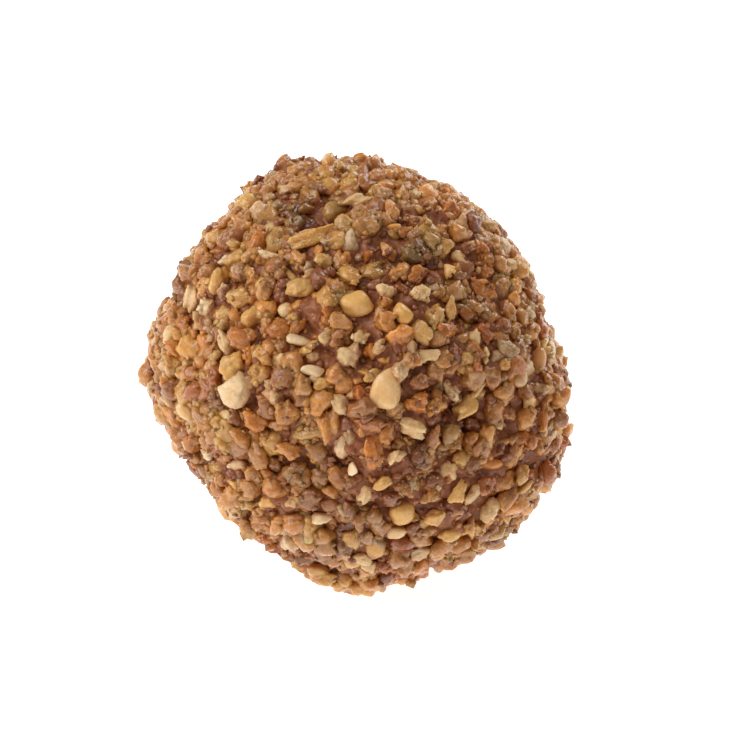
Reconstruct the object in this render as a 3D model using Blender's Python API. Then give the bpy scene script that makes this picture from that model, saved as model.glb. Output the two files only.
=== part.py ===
"""A chocolate truffle rolled in chopped nuts, as one solid out to its uneven coat.

The truffle is a hand-rolled ball: a sphere with broad swells and hollows, each fading as a bell
curve of the angle from its own middle. Over it lies the coat of chopped nuts. Every large piece
of nut is a low block: a ring of corners at its foot, and a smaller ring round its sloping top.
The skin is stretched over all these corners, so the outside is as lumpy as the real coat. The
truffle stands on the small flat spot on which it set.

Metres, +Z up. The origin is under the middle of the truffle, on the surface it stands on.
"""

import math
import random
from typing import NamedTuple

import bmesh
import bpy
from mathutils import Matrix, Vector, kdtree

MM = 0.001

# The ball.
BALL_RADIUS = 13.8 * MM  # to the bottom of the gaps between the pieces
FLAT_SPOT_RADIUS = 4.0 * MM  # of the ball alone, before the coat widens it
FOOT_DEPTH = math.sqrt(BALL_RADIUS**2 - FLAT_SPOT_RADIUS**2)  # of the flat spot, below the middle

# The coat of chopped nuts.
PIECE_COUNT = 330
PIECE_CORNERS = 6
PIECE_HEIGHT = 1.35 * MM  # how far the tallest piece stands above the gaps
SHORTEST_PIECE = 0.40  # height of the lowest piece, as a share of the tallest one's
STEEPEST_TOP = 0.35  # slope of the most slanting top
TOP_SHARE = 0.62  # size of a piece's top, as a share of its foot
SIZE_SPREAD = 0.25  # how far a piece's size strays from the mean, as a share of it
STRAY = 0.22  # how far a piece lies from its even place, as a share of the spacing
LEAST_EDGE = 0.30 * MM  # corners nearer than this become one
SEED = 7

# The finish.
NUT_BROWN = (0.40, 0.21, 0.085, 1.0)
NUT_ROUGHNESS = 0.55


class Swell(NamedTuple):
    """A broad rise on the ball, or a hollow where its height is negative."""

    azimuth: float  # degrees round +Z, from +X towards +Y
    elevation: float  # degrees above the middle of the ball
    spread: float  # degrees over which it fades to about a third
    height: float  # millimetres


SWELLS = (
    Swell(azimuth=128, elevation=44, spread=22, height=1.2),
    Swell(azimuth=178, elevation=5, spread=18, height=0.9),
    Swell(azimuth=285, elevation=-52, spread=22, height=1.3),
    Swell(azimuth=335, elevation=-25, spread=24, height=1.3),
    Swell(azimuth=15, elevation=20, spread=26, height=-0.9),
    Swell(azimuth=208, elevation=-30, spread=18, height=-1.3),
    Swell(azimuth=240, elevation=-46, spread=10, height=-0.6),
    Swell(azimuth=155, elevation=78, spread=9, height=-1.0),
    Swell(azimuth=302, elevation=20, spread=14, height=-0.6),
)


class Piece(NamedTuple):
    """One large piece of nut, as a block on the ball."""

    middle: Vector  # unit direction from the middle of the ball
    radius: float  # of its foot, as an angle seen from there
    height: float  # of the middle of its top, in metres
    slope: Vector  # how fast the top rises along each axis


def toward(azimuth: float, elevation: float) -> Vector:
    """The unit vector at these angles, in degrees."""
    turn, rise = math.radians(azimuth), math.radians(elevation)
    level = math.cos(rise)
    return Vector((level * math.cos(turn), level * math.sin(turn), math.sin(rise)))


def rolled_height(direction: Vector) -> float:
    """How far the swells and hollows lift the ball in this direction."""
    height = 0.0
    for swell in SWELLS:
        off = math.degrees(direction.angle(toward(swell.azimuth, swell.elevation)))
        height += swell.height * MM * math.exp(-((off / swell.spread) ** 2))
    return height


def scattered_pieces(chance: random.Random) -> list[Piece]:
    """The pieces, spaced by the golden angle and then strayed, each of its own size and slope."""
    golden_angle = math.pi * (3.0 - math.sqrt(5.0))
    spacing = math.sqrt(4.0 * math.pi / PIECE_COUNT)
    pieces = []
    for number in range(PIECE_COUNT):
        height = 1.0 - (2.0 * number + 1.0) / PIECE_COUNT
        level = math.sqrt(1.0 - height * height)
        turn = number * golden_angle
        even = Vector((level * math.cos(turn), level * math.sin(turn), height))
        strayed = even + any_vector(chance) * STRAY * spacing
        size = 1.0 + chance.uniform(-SIZE_SPREAD, SIZE_SPREAD)
        pieces.append(
            Piece(
                middle=strayed.normalized(),
                radius=0.5 * spacing * size,
                height=PIECE_HEIGHT * chance.uniform(SHORTEST_PIECE, 1.0),
                slope=any_vector(chance) * STEEPEST_TOP,
            )
        )
    return pieces


def any_vector(chance: random.Random) -> Vector:
    """A vector whose three parts each lie between -1 and 1."""
    return Vector([chance.uniform(-1.0, 1.0) for _ in range(3)])


def ring(piece: Piece, share: float, chance: random.Random) -> list[Vector]:
    """The unit directions of a ring of corners round a piece, at this share of its radius."""
    across = piece.middle.orthogonal().normalized()
    along = piece.middle.cross(across)
    start = chance.uniform(0.0, math.tau)
    corners = []
    for number in range(PIECE_CORNERS):
        turn = start + math.tau * (number + chance.uniform(-0.25, 0.25)) / PIECE_CORNERS
        reach = piece.radius * share * chance.uniform(0.85, 1.15)
        offset = across * math.cos(turn) + along * math.sin(turn)
        corners.append((piece.middle + offset * reach).normalized())
    return corners


def coat_corners(pieces: list[Piece], chance: random.Random) -> list[tuple[Vector, float]]:
    """Every corner of the coat: its direction and its height above the ball.

    A corner that would lie nearer to another piece, counted in that piece's own radii, is under
    that piece and is left out.
    """
    nearby = kdtree.KDTree(len(pieces))
    for number, piece in enumerate(pieces):
        nearby.insert(piece.middle, number)
    nearby.balance()

    corners = []
    for number, piece in enumerate(pieces):
        for share in (TOP_SHARE, 1.0):
            for corner in ring(piece, share, chance):
                around = nearby.find_n(corner, 5)
                owner = min(around, key=lambda found: found[2] / pieces[found[1]].radius)[1]
                if owner != number:
                    continue
                rise = piece.slope.dot(corner - piece.middle) * BALL_RADIUS
                top = max(0.0, piece.height + rise)
                corners.append((corner, top if share < 1.0 else 0.0))
    return corners


def coated_ball() -> bmesh.types.BMesh:
    """The ball with its swells, hollows, coat and flat spot, centred on the origin.

    The skin over the corners is the convex hull of their directions, before each is moved out
    to its own distance from the middle.
    """
    chance = random.Random(SEED)
    ball = bmesh.new()
    lift = ball.verts.layers.float.new("lift")
    for corner, height in coat_corners(scattered_pieces(chance), chance):
        vertex = ball.verts.new(corner)
        vertex[lift] = height
    bmesh.ops.remove_doubles(ball, verts=ball.verts[:], dist=LEAST_EDGE / BALL_RADIUS)
    for vertex in ball.verts:
        vertex.co.normalize()
    bmesh.ops.convex_hull(ball, input=ball.verts[:])
    for vertex in ball.verts:
        direction = vertex.co.copy()
        reach = BALL_RADIUS + rolled_height(direction) + vertex[lift]
        vertex.co = direction * pressed(direction, reach)
    join_flat_spot(ball)
    return ball


def pressed(direction: Vector, reach: float) -> float:
    """The distance from the middle once the ball has set on its flat spot.

    What would reach through the flat spot's plane stops on it, and so does a hollow that lies
    over the flat spot itself.
    """
    if direction.z >= 0.0:
        return reach
    to_plane = FOOT_DEPTH / -direction.z
    return to_plane if to_plane < max(reach, BALL_RADIUS) else reach


def join_flat_spot(ball: bmesh.types.BMesh) -> None:
    """Makes one face of the triangles that lie on the plane of the flat spot."""
    on_plane = [
        face
        for face in ball.faces
        if all(abs(vertex.co.z + FOOT_DEPTH) < LEAST_EDGE / 1000.0 for vertex in face.verts)
    ]
    bmesh.ops.dissolve_faces(ball, faces=on_plane, use_verts=True)
    bmesh.ops.recalc_face_normals(ball, faces=ball.faces[:])


def seat_on_origin(ball: bmesh.types.BMesh) -> None:
    """Moves the ball so that the origin is under the middle of its bounding box."""
    low = Vector([min(vertex.co[i] for vertex in ball.verts) for i in range(3)])
    high = Vector([max(vertex.co[i] for vertex in ball.verts) for i in range(3)])
    middle = (low + high) / 2.0
    shift = Matrix.Translation((-middle.x, -middle.y, -low.z))
    bmesh.ops.transform(ball, matrix=shift, verts=ball.verts[:])


def nut_material() -> bpy.types.Material:
    """Roasted chopped nut, matt and brown."""
    material = bpy.data.materials.new("nut_coat")
    material.use_nodes = True
    shader = material.node_tree.nodes["Principled BSDF"]
    shader.inputs["Base Color"].default_value = NUT_BROWN
    shader.inputs["Roughness"].default_value = NUT_ROUGHNESS
    shader.inputs["Metallic"].default_value = 0.0
    return material


def make_truffle() -> bpy.types.Object:
    """The whole truffle, as one named object."""
    ball = coated_ball()
    seat_on_origin(ball)
    mesh = bpy.data.meshes.new("truffle")
    ball.to_mesh(mesh)
    ball.free()
    mesh.materials.append(nut_material())
    truffle = bpy.data.objects.new("truffle", mesh)
    bpy.context.scene.collection.objects.link(truffle)
    return truffle


def main() -> None:
    """Clears the scene and makes the truffle in it."""
    for thing in list(bpy.data.objects):
        bpy.data.objects.remove(thing)
    make_truffle()


main()
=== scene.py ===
"""Looks of a chocolate truffle: a milk chocolate ball rolled in chopped roasted nuts.

The coat is real pieces of nut. Each is a chopped block with a shape, size and tint of its own,
pressed into the chocolate beside its neighbours, with crumbs stuck on top. The chocolate ball
fills the gaps and creeps up round the pieces. All places in the coat are worked out in
millimetres from the middle of the ball, and go into the meshes in metres.
"""

import logging
import math
from dataclasses import dataclass, field
from enum import Enum

import bpy
import numpy as np
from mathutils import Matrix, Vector
from mathutils.bvhtree import BVHTree


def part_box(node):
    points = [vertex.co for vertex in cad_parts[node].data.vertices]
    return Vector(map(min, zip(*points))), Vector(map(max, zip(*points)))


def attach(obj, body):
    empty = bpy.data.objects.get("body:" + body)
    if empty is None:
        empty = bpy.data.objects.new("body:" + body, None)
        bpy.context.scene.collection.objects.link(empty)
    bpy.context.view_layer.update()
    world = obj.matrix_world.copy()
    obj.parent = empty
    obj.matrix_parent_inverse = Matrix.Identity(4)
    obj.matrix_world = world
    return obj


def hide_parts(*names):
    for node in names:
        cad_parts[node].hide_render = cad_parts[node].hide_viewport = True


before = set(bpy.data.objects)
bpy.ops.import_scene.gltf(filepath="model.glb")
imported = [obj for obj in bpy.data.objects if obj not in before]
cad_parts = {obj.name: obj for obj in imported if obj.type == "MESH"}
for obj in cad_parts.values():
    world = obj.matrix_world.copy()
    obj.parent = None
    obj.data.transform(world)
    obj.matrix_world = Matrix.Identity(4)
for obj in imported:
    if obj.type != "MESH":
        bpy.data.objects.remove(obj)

LOG = logging.getLogger("truffle")

MM = 0.001
BODY = "root"
NODE = "truffle"
SEED = 26


class Slot(Enum):
    """The record's material slots."""

    NUT = "chopped_nut"
    CHOCOLATE = "milk_chocolate"


class Tint(Enum):
    """The colours of roasted nut, as red, green and blue out of 255."""

    IVORY = (252, 218, 170)
    CREAM = (244, 202, 144)
    # Paler than a nut's own colour: painted light on a kernel that the lamps light too little
    BUTTER = (252, 207, 146)
    STRAW = (236, 183, 107)
    GOLD = (234, 178, 97)
    HONEY = (226, 160, 86)
    TAN = (218, 156, 92)
    AMBER = (216, 139, 61)
    RUST = (192, 113, 49)
    UMBER = (194, 131, 77)
    GREY = (224, 182, 134)
    COCOA = (172, 106, 66)


def linear(code: tuple[int, int, int]) -> np.ndarray:
    """Turns a colour coded out of 255 into the light that it stands for.

    Args:
        code: Red, green and blue, each from 0 to 255.

    Returns:
        The three parts in linear light, from 0 to 1.
    """
    share = np.array(code, float) / 255.0
    return np.where(share <= 0.04045, share / 12.92, ((share + 0.055) / 1.055) ** 2.4)


def unit(vectors: np.ndarray) -> np.ndarray:
    """The same vectors at length one."""
    return vectors / np.linalg.norm(vectors, axis=-1, keepdims=True)


# ---------------------------------------------------------------------------------------------
# The ball that everything lies on
# ---------------------------------------------------------------------------------------------


@dataclass(frozen=True)
class ShownSide:
    """The side that the truffle is looked at from, and places on it as they are seen."""

    elevation: float = 40.0  # degrees that the eye looks down
    distance: float = 350.0  # millimetres from the eye to the middle of the ball

    @property
    def right(self) -> np.ndarray:
        """The direction that lies to the right."""
        return np.array([1.0, 0.0, 0.0])

    @property
    def up(self) -> np.ndarray:
        """The direction that lies upwards in the view."""
        tilt = math.radians(self.elevation)
        return np.array([0.0, math.sin(tilt), math.cos(tilt)])

    @property
    def toward(self) -> np.ndarray:
        """The direction from the ball to the eye."""
        tilt = math.radians(self.elevation)
        return np.array([0.0, -math.cos(tilt), math.sin(tilt)])

    def direction(self, right: float, up: float, reach: float) -> np.ndarray:
        """Finds where on the ball a point is that shows this far from its middle.

        The point's depth follows from the circle of radius `reach`. A point nearer to the eye
        looks further out than it is, so it is drawn in by its share of the distance.

        Args:
            right: Millimetres to the right of the middle.
            up: Millimetres above the middle.
            reach: Distance from the ball's middle to its surface, in millimetres.

        Returns:
            The unit vector from the middle of the ball to the point.
        """
        depth = math.sqrt(max(reach**2 - right**2 - up**2, 0.3))
        drawn = 1.0 - depth / self.distance
        return unit(self.right * right * drawn + self.up * up * drawn + self.toward * depth)


@dataclass(frozen=True)
class Swell:
    """A small swelling or dent of the coat on the shown side."""

    turn: float  # degrees from the right, anticlockwise
    height: float  # millimetres, negative for a dent
    out: float = 1.0  # how far it lies from the middle, where the rim is one
    spread: float = 5.0  # degrees of the ball over which it fades


SWELLS = (
    Swell(13.0, -2.10, spread=6.0),
    Swell(47.0, -1.05),
    Swell(60.0, -0.30),
    Swell(112.0, 0.50),
    Swell(133.0, -0.75),
    Swell(159.0, -0.80),
    Swell(180.0, 0.15),
    Swell(-137.0, -1.85),
    Swell(-151.0, -0.30),
    Swell(-12.0, -0.50),
    Swell(-104.0, 0.15),
    Swell(-88.0, 0.20),
    Swell(-73.0, -1.35),
    Swell(-51.0, 0.30),
    Swell(-62.0, -0.45),
    Swell(-37.0, -0.95),
    Swell(-26.0, 0.40),
    Swell(88.0, 0.30),
    Swell(72.0, -0.55),
    Swell(-114.0, -1.00, out=0.58, spread=7.0),
    Swell(-133.0, -0.45, out=0.74, spread=6.0),
    Swell(30.0, -0.70, out=0.60, spread=7.0),
    Swell(105.0, -0.75, out=0.80, spread=6.0),
    Swell(-28.0, -0.90, out=0.66, spread=8.0),
    Swell(-50.0, -0.40, out=0.62, spread=6.0),
    Swell(83.0, -0.40, out=0.42, spread=6.0),
    Swell(-5.0, 0.35, out=0.84, spread=6.0),
)


class Outline:
    """How far the coat reaches from the middle of the truffle, read from the frame's solid."""

    SPREAD = math.radians(5.0)  # over which the solid's bumps are evened out
    TOP = 0.50  # millimetres from the mean of the bumps up to their tops
    ROWS = 4096  # directions worked out at a time

    def __init__(self, node: bpy.types.Object, side: ShownSide) -> None:
        """Reads the solid's corners.

        Args:
            node: The frame's solid of the truffle.
            side: The side whose rim the swellings lie on.
        """
        turns = np.radians([swell.turn for swell in SWELLS])[:, None]
        rim = side.right * np.cos(turns) + side.up * np.sin(turns)
        out = np.array([[swell.out] for swell in SWELLS])
        self.swells = rim * out + side.toward * np.sqrt(1.0 - out**2)
        self.heights = np.array([swell.height for swell in SWELLS])
        self.spreads = np.radians([swell.spread for swell in SWELLS])
        low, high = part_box(NODE)
        self.middle = np.array((low + high) / 2.0) / MM
        corners = np.empty(len(node.data.vertices) * 3)
        node.data.vertices.foreach_get("co", corners)
        corners = corners.reshape(-1, 3) / MM
        corners = np.unique(corners.round(4), axis=0)
        corners = corners[corners[:, 2] > 0.4] - self.middle
        self.lengths = np.linalg.norm(corners, axis=1)
        self.directions = corners / self.lengths[:, None]

    def reach(self, directions: np.ndarray) -> np.ndarray:
        """Evens out the solid's bumps, and adds the swellings.

        Each corner of the solid counts by a bell curve of its angle from the direction asked
        for, and the reach is the weighted mean of the corners' distances.

        Args:
            directions: Unit vectors from the middle, one in each row.

        Returns:
            The distance to the tops of the coat in each direction, in millimetres.
        """
        reaches = np.empty(len(directions))
        for start in range(0, len(directions), self.ROWS):
            rows = slice(start, start + self.ROWS)
            nearness = (directions[rows] @ self.directions.T - 1.0) * 2.0 / self.SPREAD**2
            weights = np.exp(nearness)
            reaches[rows] = weights @ self.lengths / weights.sum(axis=1)
            nearness = (directions[rows] @ self.swells.T - 1.0) / self.spreads**2
            reaches[rows] += np.exp(nearness) @ self.heights
        return reaches + self.TOP


class CubeBall:
    """A ball of quads: the six sides of a cube blown up round, so that nothing meets in a pole."""

    SIDES = (
        ((1, 0, 0), (0, 1, 0), (0, 0, 1)),
        ((-1, 0, 0), (0, 0, 1), (0, 1, 0)),
        ((0, 1, 0), (0, 0, 1), (1, 0, 0)),
        ((0, -1, 0), (1, 0, 0), (0, 0, 1)),
        ((0, 0, 1), (1, 0, 0), (0, 1, 0)),
        ((0, 0, -1), (0, 1, 0), (1, 0, 0)),
    )
    TILE_MARGIN = 0.06  # of the width of one side's tile in the map

    def __init__(self, cells: int) -> None:
        """Works out the corners, the quads and their place in the map.

        A side is a square grid whose lines are spaced by equal angles. The corners that two
        sides share are made one. In the map the six sides lie three across and two up.

        Args:
            cells: Quads along one edge of the cube.
        """
        steps = np.tan(np.linspace(-1.0, 1.0, cells + 1) * math.pi / 4.0)
        across, along = np.meshgrid(steps, steps, indexing="ij")
        tile = np.linspace(self.TILE_MARGIN, 1.0 - self.TILE_MARGIN, cells + 1)
        tile_across, tile_along = np.meshgrid(tile, tile, indexing="ij")

        points, maps, quads = [], [], []
        number = np.arange((cells + 1) ** 2).reshape(cells + 1, cells + 1)
        ring = [number[:-1, :-1], number[1:, :-1], number[1:, 1:], number[:-1, 1:]]
        side_quads = np.stack([part.ravel() for part in ring], axis=1)
        for side, (face, first, second) in enumerate(self.SIDES):
            face, first, second = (np.array(axis, float) for axis in (face, first, second))
            grid = face + across[..., None] * first + along[..., None] * second
            points.append(unit(grid.reshape(-1, 3)))
            column, row = side % 3, side // 3
            place = np.stack([(column + tile_across) / 3.0, (row + tile_along) / 2.0], axis=-1)
            maps.append(place.reshape(-1, 2))
            quads.append(side_quads + side * number.size)

        every, maps, quads = np.concatenate(points), np.concatenate(maps), np.concatenate(quads)
        _, first_use, shared = np.unique(
            every.round(6), axis=0, return_index=True, return_inverse=True
        )
        self.directions = every[first_use]
        self.quads = shared.reshape(-1)[quads]
        self.tiles = maps[quads]


def rough_waves(
    points: np.ndarray, chance: np.random.Generator, count: int, longest: float, shortest: float
) -> np.ndarray:
    """Adds up plane waves that run in random directions, the long ones highest.

    Args:
        points: Places in millimetres, one in each row.
        chance: Where the random directions, lengths and starts come from.
        count: How many waves.
        longest: The longest wave, in millimetres.
        shortest: The shortest wave, in millimetres.

    Returns:
        A height for each point, with a spread of about one.
    """
    lengths = np.geomspace(longest, shortest, count)
    headings = unit(chance.standard_normal((count, 3))) * (2.0 * math.pi / lengths)[:, None]
    starts = chance.uniform(0.0, 2.0 * math.pi, count)
    heights = np.sqrt(lengths)
    heights = heights / math.sqrt(float((heights**2).sum()) / 2.0)
    return np.cos(points @ headings.T + starts) @ heights


# ---------------------------------------------------------------------------------------------
# Finishes
# ---------------------------------------------------------------------------------------------


class Recipe:
    """A material under construction: its nodes, with short ways to add and join them."""

    def __init__(self, name: str) -> None:
        """Starts a material with its shader and the place of each point on the object.

        Args:
            name: The material's name.
        """
        self.material = bpy.data.materials.new(name)
        self.material.use_nodes = True
        self.tree = self.material.node_tree
        self.shader = self.tree.nodes["Principled BSDF"]
        self.place = self.tree.nodes.new("ShaderNodeTexCoord").outputs["Object"]

    def set(self, **values: float | tuple) -> None:
        """Sets the shader's own sockets, named with _ for a space."""
        for name, value in values.items():
            self.shader.inputs[name.replace("_", " ")].default_value = value

    def noise(self, feature: float, detail: float = 3.0, roughness: float = 0.55) -> bpy.types.NodeSocket:
        """Adds a cloudy pattern.

        Args:
            feature: Size of its clouds, in millimetres.
            detail: How many finer layers it has.
            roughness: How strong the finer layers are.

        Returns:
            Its value, about 0.5 on average.
        """
        node = self.tree.nodes.new("ShaderNodeTexNoise")
        node.inputs["Scale"].default_value = 1.0 / (feature * MM)
        node.inputs["Detail"].default_value = detail
        node.inputs["Roughness"].default_value = roughness
        self.tree.links.new(self.place, node.inputs["Vector"])
        return node.outputs["Fac"]

    def spread(
        self, value: bpy.types.NodeSocket, low: float, high: float, start: float, end: float
    ) -> bpy.types.NodeSocket:
        """Carries a value from one range to another, smoothly, and holds it at both ends."""
        node = self.tree.nodes.new("ShaderNodeMapRange")
        node.interpolation_type = "SMOOTHSTEP"
        for name, number in zip(("From Min", "From Max", "To Min", "To Max"), (low, high, start, end)):
            node.inputs[name].default_value = number
        self.tree.links.new(value, node.inputs["Value"])
        return node.outputs["Result"]

    def math(
        self, way: str, first: bpy.types.NodeSocket, second: bpy.types.NodeSocket | float
    ) -> bpy.types.NodeSocket:
        """Adds a sum on two values and returns its result."""
        node = self.tree.nodes.new("ShaderNodeMath")
        node.operation = way
        self.tree.links.new(first, node.inputs[0])
        if isinstance(second, float):
            node.inputs[1].default_value = second
        else:
            self.tree.links.new(second, node.inputs[1])
        return node.outputs[0]

    def mix(
        self,
        share: bpy.types.NodeSocket | float,
        first: bpy.types.NodeSocket | np.ndarray,
        second: bpy.types.NodeSocket | np.ndarray,
        way: str = "MIX",
    ) -> bpy.types.NodeSocket:
        """Mixes two colours.

        Args:
            share: How much of the second shows, from 0 to 1.
            first: The lower colour.
            second: The upper colour.
            way: Blender's name for how they mix.

        Returns:
            The mixed colour.
        """
        node = self.tree.nodes.new("ShaderNodeMix")
        node.data_type = "RGBA"
        node.blend_type = way
        colours = [socket for socket in node.inputs if socket.type == "RGBA"]
        sockets = (node.inputs[0], colours[0], colours[1])
        for socket, source in zip(sockets, (share, first, second)):
            if isinstance(source, bpy.types.NodeSocket):
                self.tree.links.new(source, socket)
            elif isinstance(source, float):
                socket.default_value = source
            else:
                socket.default_value = (*source, 1.0)
        return next(out for out in node.outputs if out.type == "RGBA")

    def attribute(self, name: str, output: str) -> bpy.types.NodeSocket:
        """Reads one of the mesh's own attributes."""
        node = self.tree.nodes.new("ShaderNodeAttribute")
        node.attribute_name = name
        return node.outputs[output]

    def bump(self, heights: list[tuple[bpy.types.NodeSocket, float]]) -> None:
        """Roughens the surface.

        Args:
            heights: Patterns, each with its height in millimetres.
        """
        below = None
        for pattern, height in heights:
            node = self.tree.nodes.new("ShaderNodeBump")
            node.inputs["Strength"].default_value = 1.0
            node.inputs["Distance"].default_value = height * MM
            self.tree.links.new(pattern, node.inputs["Height"])
            if below is not None:
                self.tree.links.new(below, node.inputs["Normal"])
            below = node.outputs["Normal"]
        self.tree.links.new(below, self.shader.inputs["Normal"])


@dataclass(frozen=True)
class ChocolateFinish:
    """Milk chocolate, satin, with a dull bloom and darker mottling."""

    base: tuple[int, int, int] = (160, 96, 60)
    dark: tuple[int, int, int] = (138, 76, 44)
    bloom: tuple[int, int, int] = (172, 113, 79)
    meal: tuple[int, int, int] = (170, 117, 67)
    roughness: float = 0.34

    def colour(self, recipe: Recipe) -> bpy.types.NodeSocket:
        """Adds the chocolate's mottled colour to a recipe and returns it."""
        shade = recipe.spread(recipe.noise(1.1), 0.36, 0.62, 0.0, 1.0)
        colour = recipe.mix(shade, linear(self.dark), linear(self.base))
        dust = recipe.spread(recipe.noise(0.55, 3.0), 0.52, 0.70, 0.0, 0.6)
        return recipe.mix(dust, colour, linear(self.bloom))

    def material(self) -> bpy.types.Material:
        """Makes the material of the bare chocolate, with nut meal stirred into its surface."""
        recipe = Recipe("milk_chocolate")
        meal = recipe.spread(recipe.noise(0.5, 4.0, 0.7), 0.51, 0.65, 0.0, 0.7)
        colour = recipe.mix(meal, self.colour(recipe), linear(self.meal))
        recipe.tree.links.new(colour, recipe.shader.inputs["Base Color"])
        gloss = recipe.spread(recipe.noise(0.4), 0.35, 0.65, self.roughness - 0.10, self.roughness + 0.14)
        recipe.tree.links.new(gloss, recipe.shader.inputs["Roughness"])
        recipe.set(
            Specular_IOR_Level=0.35,
            Subsurface_Weight=0.12,
            Subsurface_Radius=(1.0, 0.45, 0.22),
            Subsurface_Scale=0.5 * MM,
        )
        recipe.bump([(recipe.noise(0.50, 0.0), 0.14), (recipe.noise(0.22, 1.0), 0.035)])
        return recipe.material


CHOCOLATE = ChocolateFinish()


@dataclass(frozen=True)
class NutFinish:
    """Roasted nut: its own tint, clouded, with painted shade in its pits, paler specks on its tips that are
    partly sugar and partly painted highlight, and chocolate smeared on its foot.
    """

    name: str
    roughness: float = 0.22
    cloud: float = 1.0  # how much the tint varies over a piece
    painted_shade_and_highlight: float = 0.18  # how strong the painted shade in its pits and the paler specks on its tips, partly painted highlight, are
    relief: float = 0.08  # height of its crags, in millimetres
    grain: float = 0.03  # height of its finest roughness, in millimetres
    glow: float = 0.90  # how much light passes through it
    depth: float = 0.85  # millimetres that light passes
    warmth: tuple[float, float, float] = (0.9, 0.80, 0.65)  # of that, for red, green and blue light
    glaze: float = 0.22  # how much caramel gloss lies over it

    DEEPER = (0.92, 0.80, 0.66)
    PALER = (1.10, 1.10, 1.08)
    # Painted shade in the pits, and paler specks on the tips that are partly sugar and partly painted
    # highlight
    PAINTED_PIT_SHADE = (0.76, 0.60, 0.44)
    SUGAR_AND_PAINTED_HIGHLIGHT = (1.15, 1.16, 1.16)

    def material(self) -> bpy.types.Material:
        """Makes the material."""
        recipe = Recipe(self.name)
        tint = recipe.attribute("tint", "Color")
        deeper = recipe.mix(self.cloud, tint, recipe.mix(1.0, tint, np.array(self.DEEPER), "MULTIPLY"))
        paler = recipe.mix(self.cloud, tint, recipe.mix(1.0, tint, np.array(self.PALER), "MULTIPLY"))
        toned = recipe.mix(recipe.spread(recipe.noise(0.7), 0.36, 0.64, 0.0, 1.0), deeper, paler)
        crags = recipe.noise(0.40, 3.0, 0.6)
        # Painted shade darkens the low spots of the pattern; paler specks, partly painted highlight, lie on
        # its high spots
        painted_pit_shade = recipe.spread(crags, 0.50, 0.38, 0.0, self.painted_shade_and_highlight)
        pit_shaded = recipe.mix(painted_pit_shade, toned, recipe.mix(1.0, toned, np.array(self.PAINTED_PIT_SHADE), "MULTIPLY"))
        sugar_and_highlight = recipe.spread(crags, 0.54, 0.64, 0.0, self.painted_shade_and_highlight)
        shaded_and_highlit = recipe.mix(sugar_and_highlight, pit_shaded, recipe.mix(1.0, toned, np.array(self.SUGAR_AND_PAINTED_HIGHLIGHT), "MULTIPLY"))
        smear = recipe.math("ADD", recipe.attribute("smear", "Fac"), recipe.noise(0.35, 3.0))
        film = recipe.spread(smear, 0.80, 1.35, 0.0, 0.95)
        colour = recipe.mix(film, shaded_and_highlit, CHOCOLATE.colour(recipe))
        recipe.tree.links.new(colour, recipe.shader.inputs["Base Color"])
        gloss = recipe.spread(recipe.noise(0.3), 0.35, 0.65, self.roughness - 0.13, self.roughness + 0.12)
        recipe.tree.links.new(gloss, recipe.shader.inputs["Roughness"])
        recipe.set(
            Subsurface_Weight=self.glow,
            Subsurface_Radius=self.warmth,
            Subsurface_Scale=self.depth * MM,
            Coat_Weight=self.glaze,
            Coat_Roughness=0.10,
        )
        recipe.bump([(recipe.noise(0.36, 1.0), self.relief), (recipe.noise(0.14, 0.0), self.grain)])
        return recipe.material


@dataclass(frozen=True)
class FloorFinish:
    """A matt, near-white studio floor, lit from below."""

    colour: tuple[float, float, float] = (0.72, 0.72, 0.71)
    glow: float = 0.90

    def material(self) -> bpy.types.Material:
        """Makes the material."""
        recipe = Recipe("studio_floor")
        faint = recipe.spread(recipe.noise(40.0), 0.3, 0.7, 0.0, 1.0)
        paler = np.array(self.colour) * 1.02
        colour = recipe.mix(faint, np.array(self.colour), paler)
        recipe.tree.links.new(colour, recipe.shader.inputs["Base Color"])
        recipe.set(
            Roughness=0.9,
            Specular_IOR_Level=0.1,
            Emission_Color=(1.0, 1.0, 1.0, 1.0),
            Emission_Strength=self.glow,
        )
        return recipe.material


# ---------------------------------------------------------------------------------------------
# The kinds of grain
# ---------------------------------------------------------------------------------------------


class Kind(Enum):
    """What a grain of the coat is; the value is the name of the piece that holds its kind."""

    GOLDEN = "golden_nut_pieces"
    HONEY = "honey_nut_pieces"
    BROWN = "brown_nut_pieces"
    TOASTED = "toasted_nut_pieces"
    PALE = "pale_nut_chips"
    GLASSY = "glassy_nut_pieces"
    KERNEL = "smooth_kernels"
    OVAL = "pale_ovals"
    SPLINTER = "nut_splinters"
    LUMP = "chocolate_lumps"


@dataclass(frozen=True)
class Cut:
    """How one kind of grain is shaped, tinted and finished."""

    share: float  # of all the grains
    tints: tuple[Tint, ...]
    finish: NutFinish
    size: float  # mean size across, in millimetres
    spread: float = 0.26  # of the logarithm of the size
    wide: tuple[float, float] = (0.68, 0.95)  # width, as a share of the length
    thick: tuple[float, float] = (0.62, 0.92)  # thickness, as a share of the length
    blocks: int = 3  # that have grown together in it
    apart: tuple[float, float] = (0.30, 0.54)  # how far the middle of each is from the grain's own
    near: float = 0.70  # distance of a block's nearest flats, as a share of the farthest
    faces: int = 9  # flats of a block
    crisp: float = 9.0  # how sharply two flats meet
    lumps: float = 0.13  # how wavy the flats are
    grit: float = 0.032  # how far single corners stray
    tilt: float = 28.0  # degrees that the flat side leans from the ball
    light: float = 0.75  # what its tints are multiplied by


NEUTRAL = (0.5, 0.8, 1.0)

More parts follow.
